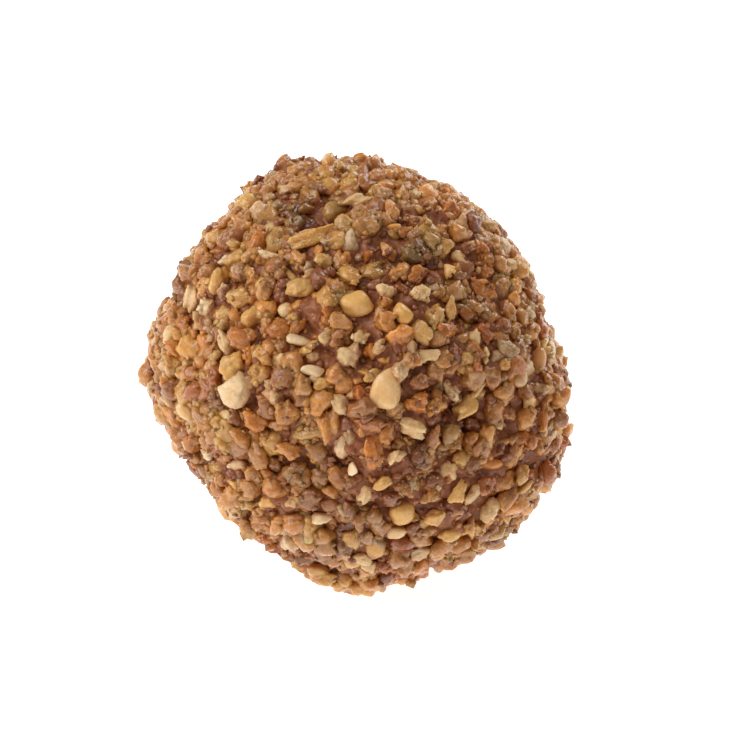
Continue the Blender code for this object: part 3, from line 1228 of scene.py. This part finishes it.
        # Strewn grains take the darker and paler parts, partly painted shade and painted light
        tone = np.where(grains.fixed[:, None], 1.0, toned(unit(grains.place), self.shown_side))
        grains.tint = np.clip(grains.tint * stray * warmth * tone, 0.0, 1.0)
        self.grains = grains

    def pieces(self, ball: "ChocolateBall") -> list[bpy.types.Object]:
        """Makes one mesh piece for each kind of grain.

        Args:
            ball: The chocolate ball, which says how high the chocolate reaches.

        Returns:
            The finished pieces.
        """
        made = []
        for number, kind in enumerate(Kind):
            grains = self.grains.kept(self.grains.kind == number)
            cut = CUTS[kind]
            builder = GrainMesh(cut, self.chance, self.outline, ball)
            made.append(finished(builder.build(kind.value, grains), cut.finish.material()))
            LOG.info("%s: %d grains, %d faces", kind.value, len(grains.kind), builder.faces)
        return made


# ---------------------------------------------------------------------------------------------
# Meshes
# ---------------------------------------------------------------------------------------------


def surface(
    name: str,
    points: np.ndarray,
    quads: np.ndarray,
    maps: np.ndarray,
    smooth: np.ndarray,
    tint: np.ndarray | None = None,
    smear: np.ndarray | None = None,
) -> bpy.types.Object:
    """Puts whole arrays into a mesh.

    Args:
        name: The object's name.
        points: Places of the corners, in metres.
        quads: Four corner numbers for each face, turning left as seen from outside.
        maps: The place in the map of each face's four corners.
        smooth: Whether each face is shaded as round.
        tint: Colour of each corner, in linear light.
        smear: How much chocolate is on each corner, from 0 to 1.

    Returns:
        The new object, in the scene.
    """
    mesh = bpy.data.meshes.new(name)
    mesh.vertices.add(len(points))
    mesh.vertices.foreach_set("co", points.astype(np.float32).ravel())
    mesh.loops.add(quads.size)
    mesh.loops.foreach_set("vertex_index", quads.astype(np.int32).ravel())
    mesh.polygons.add(len(quads))
    mesh.polygons.foreach_set("loop_start", np.arange(0, quads.size, 4, dtype=np.int32))
    mesh.update(calc_edges=True)
    mesh.polygons.foreach_set("use_smooth", smooth)
    layer = mesh.uv_layers.new(name="OFBake")
    layer.data.foreach_set("uv", maps.astype(np.float32).ravel())
    if tint is not None:
        colours = np.concatenate([tint, np.ones((len(tint), 1))], axis=1).astype(np.float32)
        mesh.attributes.new("tint", "FLOAT_COLOR", "POINT").data.foreach_set("color", colours.ravel())
    if smear is not None:
        mesh.attributes.new("smear", "FLOAT", "POINT").data.foreach_set("value", smear.astype(np.float32))
    mesh.validate()
    piece = bpy.data.objects.new(name, mesh)
    bpy.context.scene.collection.objects.link(piece)
    return piece


def finished(piece: bpy.types.Object, material: bpy.types.Material) -> bpy.types.Object:
    """Gives a piece its material and its place in the frame.

    Args:
        piece: The piece.
        material: What it is made of.

    Returns:
        The same piece.
    """
    piece.data.materials.append(material)
    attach(piece, BODY)
    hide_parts(NODE)
    return piece


@dataclass
class GrainMesh:
    """Turns grains of one kind into one mesh of chopped blocks."""

    cut: Cut
    chance: np.random.Generator
    outline: Outline
    ball: "ChocolateBall"
    faces: int = 0

    LARGE = 1.30  # millimetres from which a strewn grain has the finer mesh
    CELLS = (8, 5, 3)  # quads along a cube's edge for a shown, large and small grain
    WAVES = 5  # swellings added up on one grain
    ROUND = 1.02  # radius of the ball that trims the corners
    SEAM = 12.0  # how sharply two blocks meet
    LEAST = 0.12  # distance that every flat keeps from the grain's middle
    FLANK = 1.0  # millimetres over the chocolate up to which painted shade darkens a grain
    PAINTED_FOOT_SHADE = (0.08, 0.26, 0.42)  # share of red, green and blue that the painted shade takes at the foot

    def shapes(self, ball: CubeBall, count: int) -> np.ndarray:
        """Makes grains, each a few chopped blocks grown together.

        A block is the space inside its flats. In a direction d its surface is at
        1 / (sum of (n.d / h) ** p) ** (1 / p), over the flats that d faces, where n is a flat's
        normal and h its distance from the middle of the grain; the higher p is, the crisper
        the edges. Moving the block by c adds n.c to each h. The grain's surface is where the
        farthest of its blocks has its own. Waves and grit are added, and each grain is then
        fitted to a cube from -1 to 1.

        Args:
            ball: The grid of directions.
            count: How many grains.

        Returns:
            The corners of each grain.
        """
        cut, chance = self.cut, self.chance
        shape = (count, cut.blocks, cut.faces)
        normals = unit(self.even(cut.faces) + 0.30 * chance.standard_normal((*shape, 3)))
        normals = normals @ self.turns(shape[:2])
        middles = unit(self.even(cut.blocks) + 0.35 * chance.standard_normal((*shape[:2], 3)))
        middles = middles @ self.turns((count,)) * chance.uniform(*cut.apart, (*shape[:2], 1))
        distances = chance.uniform(cut.near, 1.0, shape) * chance.uniform(0.48, 0.68, (*shape[:2], 1))
        distances = np.maximum(distances + np.einsum("gbkd,gbd->gbk", normals, middles), self.LEAST)
        facing = np.einsum("vd,gbkd->gbvk", ball.directions, normals / distances[..., None])
        inside = (np.clip(facing, 0.0, None) ** cut.crisp).sum(axis=3)
        reach = (inside + self.ROUND**-cut.crisp) ** (-self.SEAM / cut.crisp)
        reach = reach.sum(axis=1) ** (1.0 / self.SEAM)
        for fineness, height in ((3.0, cut.lumps), (8.0, 0.55 * cut.lumps)):
            headings = chance.standard_normal((count, self.WAVES, 3)) * fineness
            starts = chance.uniform(0.0, 2.0 * math.pi, (count, 1, self.WAVES))
            waves = np.cos(np.einsum("vd,gkd->gvk", ball.directions, headings) + starts)
            reach *= 1.0 + height * waves.mean(axis=2) * 1.6
        reach *= 1.0 + cut.grit * chance.standard_normal(reach.shape)
        points = ball.directions[None] * reach[..., None]
        low, high = points.min(axis=1, keepdims=True), points.max(axis=1, keepdims=True)
        return (points - (low + high) / 2.0) / ((high - low) / 2.0)

    @staticmethod
    def even(count: int) -> np.ndarray:
        """Directions spread evenly over a ball, along a spiral that turns by the golden angle."""
        height = 1.0 - (2.0 * np.arange(count) + 1.0) / count
        turn = np.arange(count) * math.pi * (3.0 - math.sqrt(5.0))
        level = np.sqrt(1.0 - height**2)
        return np.stack([level * np.cos(turn), level * np.sin(turn), height], axis=1)

    def turns(self, shape: tuple[int, ...]) -> np.ndarray:
        """Random turns in space, as three unit vectors at right angles for each."""
        first = unit(self.chance.standard_normal((*shape, 3)))
        second = self.chance.standard_normal((*shape, 3))
        second = unit(second - first * (first * second).sum(axis=-1, keepdims=True))
        return np.stack([first, second, np.cross(first, second)], axis=-2)

    def smears(self, points: np.ndarray, grains: Grains) -> np.ndarray:
        """Works out how much chocolate is on each corner of each grain.

        It is full at the chocolate's own height and fades out over half a millimetre. A few
        grains also have one side that was dragged through it.

        Args:
            points: The corners of each grain, from the middle of the ball, in millimetres.
            grains: The grains.

        Returns:
            The share of chocolate on each corner, from 0 to 1.
        """
        level = self.outline.reach(unit(grains.place)) - self.ball.depth
        height = np.linalg.norm(points, axis=2) - level[:, None]
        foot = np.clip(1.0 - height / 0.55, 0.0, 1.0)
        drag = unit(self.chance.standard_normal((len(level), 3)))
        side = np.einsum("gvd,gd->gv", points - grains.place[:, None], drag) / grains.radius[:, None]
        amount = self.chance.uniform(-2.8, 0.35, len(level))[:, None]
        return np.clip(np.maximum(foot, 0.5 * side + amount), 0.0, 1.0)

    def painted_foot_shade(self, points: np.ndarray, grains: Grains) -> np.ndarray:
        """Works out the painted shade low on each grain, which darkens and warms its tint towards the
        chocolate.

        The painted shade deepens evenly from the height FLANK over the chocolate down to the chocolate.

        Args:
            points: The corners of each grain, from the middle of the ball, in millimetres.
            grains: The grains.

        Returns:
            Shares of red, green and blue for each corner.
        """
        level = self.outline.reach(unit(grains.place)) - self.ball.depth
        height = np.linalg.norm(points, axis=2) - level[:, None]
        low = np.clip(1.0 - height / self.FLANK, 0.0, 1.0)
        return 1.0 - low[..., None] * np.array(self.PAINTED_FOOT_SHADE)

    def build(self, name: str, grains: Grains) -> bpy.types.Object:
        """Makes the mesh of all the grains, large ones finer than small ones.

        A grain that would reach under the floor is pressed flat there. Each grain has a square
        tile of its own in the map.

        Args:
            name: The piece's name.
            grains: The grains of this kind.

        Returns:
            The piece.
        """
        large = grains.size[:, 0] >= self.LARGE
        groups = (grains.fixed, large & ~grains.fixed, ~large & ~grains.fixed)
        tiles_across = math.ceil(math.sqrt(len(grains.kind)))
        tile_number = 0
        parts: list[tuple[np.ndarray, ...]] = []
        corner_count = 0
        for cells, group in zip(self.CELLS, groups):
            some = grains.kept(group)
            count = len(some.kind)
            if count == 0:
                continue
            ball = CubeBall(cells)
            local = self.shapes(ball, count) * (some.size / 2.0)[:, None, :]
            points = np.einsum("gvk,gkd->gvd", local, some.axes) + some.place[:, None]
            smear = self.smears(points, some)
            # Painted shade darkens each grain's tint towards its foot
            tint = (some.tint[:, None] * self.painted_foot_shade(points, some)).reshape(-1, 3)
            points += self.outline.middle
            rest = self.chance.uniform(0.0, 0.12, (count, 1))
            points[..., 2] = np.maximum(points[..., 2], rest)
            offsets = corner_count + np.arange(count)[:, None, None] * len(ball.directions)
            quads = ball.quads[None] + offsets
            tile = tile_number + np.arange(count)
            tile_place = np.stack([tile % tiles_across, tile // tiles_across], axis=1)
            maps = (ball.tiles[None] + tile_place[:, None, None, :]) / tiles_across
            smooth = np.ones(count * len(ball.quads), bool)
            points, quads, maps = points.reshape(-1, 3), quads.reshape(-1, 4), maps.reshape(-1, 2)
            parts.append((points, quads, maps, smooth, tint, smear.ravel()))
            corner_count += len(points)
            tile_number += count
        points, quads, maps, smooth, tint, smear = (np.concatenate(part) for part in zip(*parts))
        self.faces = len(quads)
        return surface(name, points * MM, quads, maps, smooth, tint, smear)


@dataclass
class ChocolateBall:
    """The milk chocolate ball under the coat, which creeps up round the grains."""

    outline: Outline
    chance: np.random.Generator
    depth: float = 1.20  # millimetres from the tops of the coat to the chocolate between grains
    cells: int = 112
    creep: float = 0.40  # millimetres that it rises against a grain
    creep_width: float = 0.42  # millimetres over which it does
    waviness: float = 0.16  # millimetres
    ROWS: int = 2048

    def raised(self, directions: np.ndarray, reach: np.ndarray, grains: Grains) -> np.ndarray:
        """Lets the chocolate creep up the grains.

        It rises by a bell curve of how far a point is outside the nearest grain.

        Args:
            directions: Unit vectors of the ball's corners.
            reach: Distance of each corner from the middle, in millimetres.
            grains: The coat.

        Returns:
            The rise at each corner, in millimetres.
        """
        outward, radius = unit(grains.place), grains.radius
        rises = np.empty(len(directions))
        for start in range(0, len(directions), self.ROWS):
            rows = slice(start, start + self.ROWS)
            chord = np.sqrt(np.clip(2.0 - 2.0 * directions[rows] @ outward.T, 0.0, None))
            outside = np.clip((chord * reach[rows, None] - 0.8 * radius).min(axis=1), 0.0, None)
            rises[rows] = self.creep * np.exp(-((outside / self.creep_width) ** 2))
        return rises

    def build(self, grains: Grains) -> bpy.types.Object:
        """Makes the ball.

        Args:
            grains: The coat that it holds.

        Returns:
            The finished piece.
        """
        ball = CubeBall(self.cells)
        reach = self.outline.reach(ball.directions) - self.depth
        reach += self.raised(ball.directions, reach, grains)
        waves = rough_waves(ball.directions * 15.0, self.chance, 70, 3.0, 0.7)
        reach += self.waviness * waves
        points = ball.directions * reach[:, None] + self.outline.middle
        points[:, 2] = np.maximum(points[:, 2], 0.15)
        smooth = np.ones(len(ball.quads), bool)
        piece = surface("chocolate_ball", points * MM, ball.quads, ball.tiles, smooth)
        LOG.info("chocolate_ball: %d faces", len(ball.quads))
        return finished(piece, CHOCOLATE.material())


class Ground:
    """The surface of some pieces as one, for crumbs to be dropped on."""

    SMOOTH = (Kind.KERNEL.value, Kind.OVAL.value, Kind.PALE.value)  # where only a few crumbs stick

    def __init__(self, pieces: list[bpy.types.Object]) -> None:
        """Joins the pieces' faces.

        Args:
            pieces: The pieces.
        """
        corners, faces, tints, smooth = [], [], [], []
        count = 0
        for piece in pieces:
            mesh = piece.data
            places = np.empty(len(mesh.vertices) * 3, np.float32)
            mesh.vertices.foreach_get("co", places)
            numbers = np.empty(len(mesh.loops), np.int32)
            mesh.loops.foreach_get("vertex_index", numbers)
            numbers = numbers.reshape(-1, 4)
            tint = np.zeros(len(mesh.vertices) * 4, np.float32)
            if "tint" in mesh.attributes:
                mesh.attributes["tint"].data.foreach_get("color", tint)
            corners.append(places.reshape(-1, 3))
            faces.append(numbers + count)
            tints.append(tint.reshape(-1, 4)[numbers[:, 0], :3])
            smooth.append(np.full(len(numbers), piece.name in self.SMOOTH))
            count += len(mesh.vertices)
        self.tints = np.concatenate(tints)
        self.smooth = np.concatenate(smooth)
        self.tree = BVHTree.FromPolygons(np.concatenate(corners).tolist(), np.concatenate(faces).tolist())


@dataclass
class Crumbs:
    """Small bits of nut, stuck on the grains and in the gaps between them."""

    name: str
    outline: Outline
    side: ShownSide
    chance: np.random.Generator
    tries: int  # how many are dropped
    size: float  # mean size, in millimetres
    apart: float  # millimetres that two of them keep between their middles
    deep: float  # millimetres under the tops of the coat that they lie at least
    cells: int  # quads along a cube's edge of one
    coated: float = 0.10  # share of them that chocolate covers
    coated_low: float = 0.35  # share of those in the gaps that it covers
    alike: float = 0.0  # share of them that have the tint of the grain that they lie on
    lean: float = 0.0  # how far off straight down they are dropped, as a slope
    on_smooth: float = 0.15  # share of them that stick to a smooth grain
    in_patch: float = 0.40  # share of them that stay in a bare patch
    light: float = 0.76  # what their tints are multiplied by

    TINTS = (Tint.HONEY, Tint.TAN, Tint.TAN, Tint.UMBER, Tint.STRAW, Tint.HONEY, Tint.AMBER, Tint.GREY)

    def landings(self, ground: Ground) -> tuple[np.ndarray, np.ndarray, np.ndarray]:
        """Drops the crumbs towards the middle until they meet a grain or the chocolate.

        Of two that land too close together, the later one bounces off.

        Args:
            ground: What the crumbs land on.

        Returns:
            Where they lie, in millimetres from the middle, which way the surface faces there,
            and the number of its face.
        """
        outward = unit(self.chance.standard_normal((self.tries, 3)))
        slope = unit(outward + self.lean * self.chance.standard_normal((self.tries, 3)))
        tops = self.outline.reach(outward)
        middle = Vector(self.outline.middle * MM)
        places, facings, faces = [], [], []
        for direction, leaning, top in zip(outward, slope, tops):
            start = middle + (Vector(direction) * (top + 1.0) + Vector(leaning)) * MM
            place, normal, face, _ = ground.tree.ray_cast(start, -Vector(leaning), 8.0 * MM)
            if place is None or place.z < 0.5 * MM:
                continue
            lies = place / MM - Vector(self.outline.middle)
            if lies.length < top - self.deep:
                places.append(lies)
                facings.append(normal)
                faces.append(face)
        place, facing, face = np.array(places), np.array(facings), np.array(faces)
        square = (place**2).sum(axis=1)
        near = square[:, None] + square[None, :] - 2.0 * place @ place.T < self.apart**2
        keep = ~np.tril(near, -1).any(axis=1)
        keep &= ~ground.smooth[face] | (self.chance.random(len(face)) < self.on_smooth)
        keep &= ~bare(unit(place), self.side, self.chance) | (self.chance.random(len(face)) < self.in_patch)
        return place[keep], facing[keep], face[keep]

    def build(self, ground: Ground) -> bpy.types.Object:
        """Makes the crumbs' mesh.

        Args:
            ground: What the crumbs land on.

        Returns:
            The finished piece.
        """
        place, facing, face = self.landings(ground)
        count, chance = len(place), self.chance
        size = self.size * np.exp(0.25 * chance.standard_normal((count, 1)))
        size = size * np.array([[1.15, 0.95, 0.80]]) * chance.uniform(0.85, 1.15, (count, 3))
        along = chance.standard_normal((count, 3))
        along = unit(along - facing * (along * facing).sum(axis=1, keepdims=True))
        palette = np.array([linear(tone.value) for tone in self.TINTS])
        # Crumbs take the same darker and paler parts, partly painted shade and painted light
        tint = palette[chance.integers(len(palette), size=count)] * toned(unit(place), self.side) * self.light
        under = ground.tints[face]
        alike = (under.sum(axis=1) > 0.0) & (chance.random(count) < self.alike)
        tint[alike] = under[alike]
        tint = np.clip(tint * (1.0 + 0.10 * chance.standard_normal((count, 1))), 0.0, 1.0)
        flooded = bare(unit(place), self.side, chance)
        on_chocolate = under.sum(axis=1) == 0.0
        coated = flooded | (chance.random(count) < np.where(on_chocolate, self.coated_low, self.coated))
        tint[coated] = linear(Tint.COCOA.value) * self.light
        grains = Grains(
            kind=np.zeros(count, int),
            place=place + facing * 0.04 * size[:, 2:],
            size=size,
            axes=np.stack([along, np.cross(facing, along), facing], axis=1),
            tint=tint,
            fixed=np.zeros(count, bool),
        )
        cut = Cut(
            share=0.0,
            tints=self.TINTS,
            finish=NutFinish(self.name, relief=0.05, glow=0.0),
            size=self.size,
            lumps=0.15,
            grit=0.05,
        )
        builder = GrainMesh(cut, chance, self.outline, ChocolateBall(self.outline, chance))
        builder.CELLS = (self.cells,) * 3
        piece = builder.build(self.name, grains)
        LOG.info("%s: %d grains, %d faces", self.name, count, builder.faces)
        return finished(piece, cut.finish.material())


# ---------------------------------------------------------------------------------------------
# The studio
# ---------------------------------------------------------------------------------------------


@dataclass(frozen=True)
class SoftBox:
    """A large square lamp that shines on the truffle."""

    name: str
    azimuth: float  # degrees round +Z, from +X towards +Y
    elevation: float  # degrees above the floor
    distance: float  # metres
    side: float  # metres
    power: float  # watts


@dataclass
class Studio:
    """The floor, the light and the camera."""

    shown_side: ShownSide
    middle: np.ndarray  # of the ball, in millimetres
    lens: float = 240.0
    aim_right: float = 0.57  # millimetres that the camera points right of the ball's middle
    aim_up: float = -0.29  # and above it
    floor_radius: float = 2.0
    world: float = 0.235
    boxes: tuple[SoftBox, ...] = (
        SoftBox("left_box", 185.0, 42.0, 0.60, 0.45, 2.32),
        SoftBox("back_box", 55.0, 28.0, 0.70, 0.40, 2.22),
        SoftBox("front_box", -75.0, 70.0, 0.60, 0.05, 0.26),
        SoftBox("spark_box", -125.0, 55.0, 0.60, 0.04, 0.18),
    )

    def floor(self) -> None:
        """Lays a wide round floor."""
        count = 96
        turn = np.linspace(0.0, 2.0 * math.pi, count, endpoint=False)
        rings = np.array([0.0, 0.02, 0.1, 0.5, 1.0]) * self.floor_radius
        points = [(0.0, 0.0, 0.0)]
        for radius in rings[1:]:
            points += [(radius * math.cos(a), radius * math.sin(a), 0.0) for a in turn]
        faces = [(0, 1 + i, 1 + (i + 1) % count) for i in range(count)]
        for ring in range(len(rings) - 2):
            inner, outer = 1 + ring * count, 1 + (ring + 1) * count
            faces += [
                (inner + i, outer + i, outer + (i + 1) % count, inner + (i + 1) % count)
                for i in range(count)
            ]
        mesh = bpy.data.meshes.new("floor")
        mesh.from_pydata(points, [], faces)
        mesh.materials.append(FloorFinish().material())
        floor = bpy.data.objects.new("floor", mesh)
        bpy.context.scene.collection.objects.link(floor)

    def light(self) -> None:
        """Hangs the soft boxes and fills the room with a faint even light."""
        target = Vector(self.middle * MM)
        for box in self.boxes:
            turn, rise = math.radians(box.azimuth), math.radians(box.elevation)
            heading = Vector(
                (math.cos(rise) * math.cos(turn), math.cos(rise) * math.sin(turn), math.sin(rise))
            )
            lamp = bpy.data.lights.new(box.name, "AREA")
            lamp.shape = "SQUARE"
            lamp.size = box.side
            lamp.energy = box.power
            holder = bpy.data.objects.new(box.name, lamp)
            holder.location = target + heading * box.distance
            holder.rotation_euler = (-heading).to_track_quat("-Z", "Y").to_euler()
            bpy.context.scene.collection.objects.link(holder)
        world = bpy.data.worlds.new("studio_room")
        world.use_nodes = True
        background = world.node_tree.nodes["Background"]
        background.inputs["Color"].default_value = (1.0, 1.0, 1.0, 1.0)
        background.inputs["Strength"].default_value = self.world
        bpy.context.scene.world = world

    def camera(self) -> None:
        """Sets up the camera, looking down at the shown side."""
        side = self.shown_side
        aim = self.middle + side.right * self.aim_right + side.up * self.aim_up
        eye = aim + side.toward * side.distance
        camera = bpy.data.cameras.new("camera")
        camera.lens = self.lens
        camera.clip_start = 0.01
        holder = bpy.data.objects.new("camera", camera)
        holder.location = Vector(eye * MM)
        heading = Vector(-side.toward)
        holder.rotation_euler = heading.to_track_quat("-Z", "Y").to_euler()
        bpy.context.scene.collection.objects.link(holder)
        bpy.context.scene.camera = holder
        bpy.context.scene.view_settings.view_transform = "Standard"

    def build(self) -> None:
        """Sets up the whole studio."""
        self.floor()
        self.light()
        self.camera()


def main() -> None:
    """Builds the looks of the truffle and the studio round it."""
    logging.basicConfig(level=logging.INFO, format="%(name)s: %(message)s")
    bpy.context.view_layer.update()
    chance = np.random.default_rng(SEED)
    side = ShownSide()
    outline = Outline(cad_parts[NODE], side)

    coat = Coat(outline, side, chance)
    coat.lay()
    LOG.info("the coat has %d grains", len(coat.grains.kind))
    ball = ChocolateBall(outline, chance)
    core = ball.build(coat.grains)
    nuts = coat.pieces(ball)
    bits = Crumbs("nut_bits", outline, side, chance, 2400, 0.80, apart=0.62, deep=0.60, cells=3)
    small = bits.build(Ground([core, *nuts]))
    crumbs = Crumbs(
        "nut_crumbs", outline, side, chance, 4200, 0.38, apart=0.32, deep=0.0, cells=1, coated=0.05, coated_low=0.7, alike=0.9, lean=0.5
    )
    crumbs.build(Ground([core, *nuts, small]))
    Studio(side, outline.middle).build()


if __name__ == "__main__":
    main()
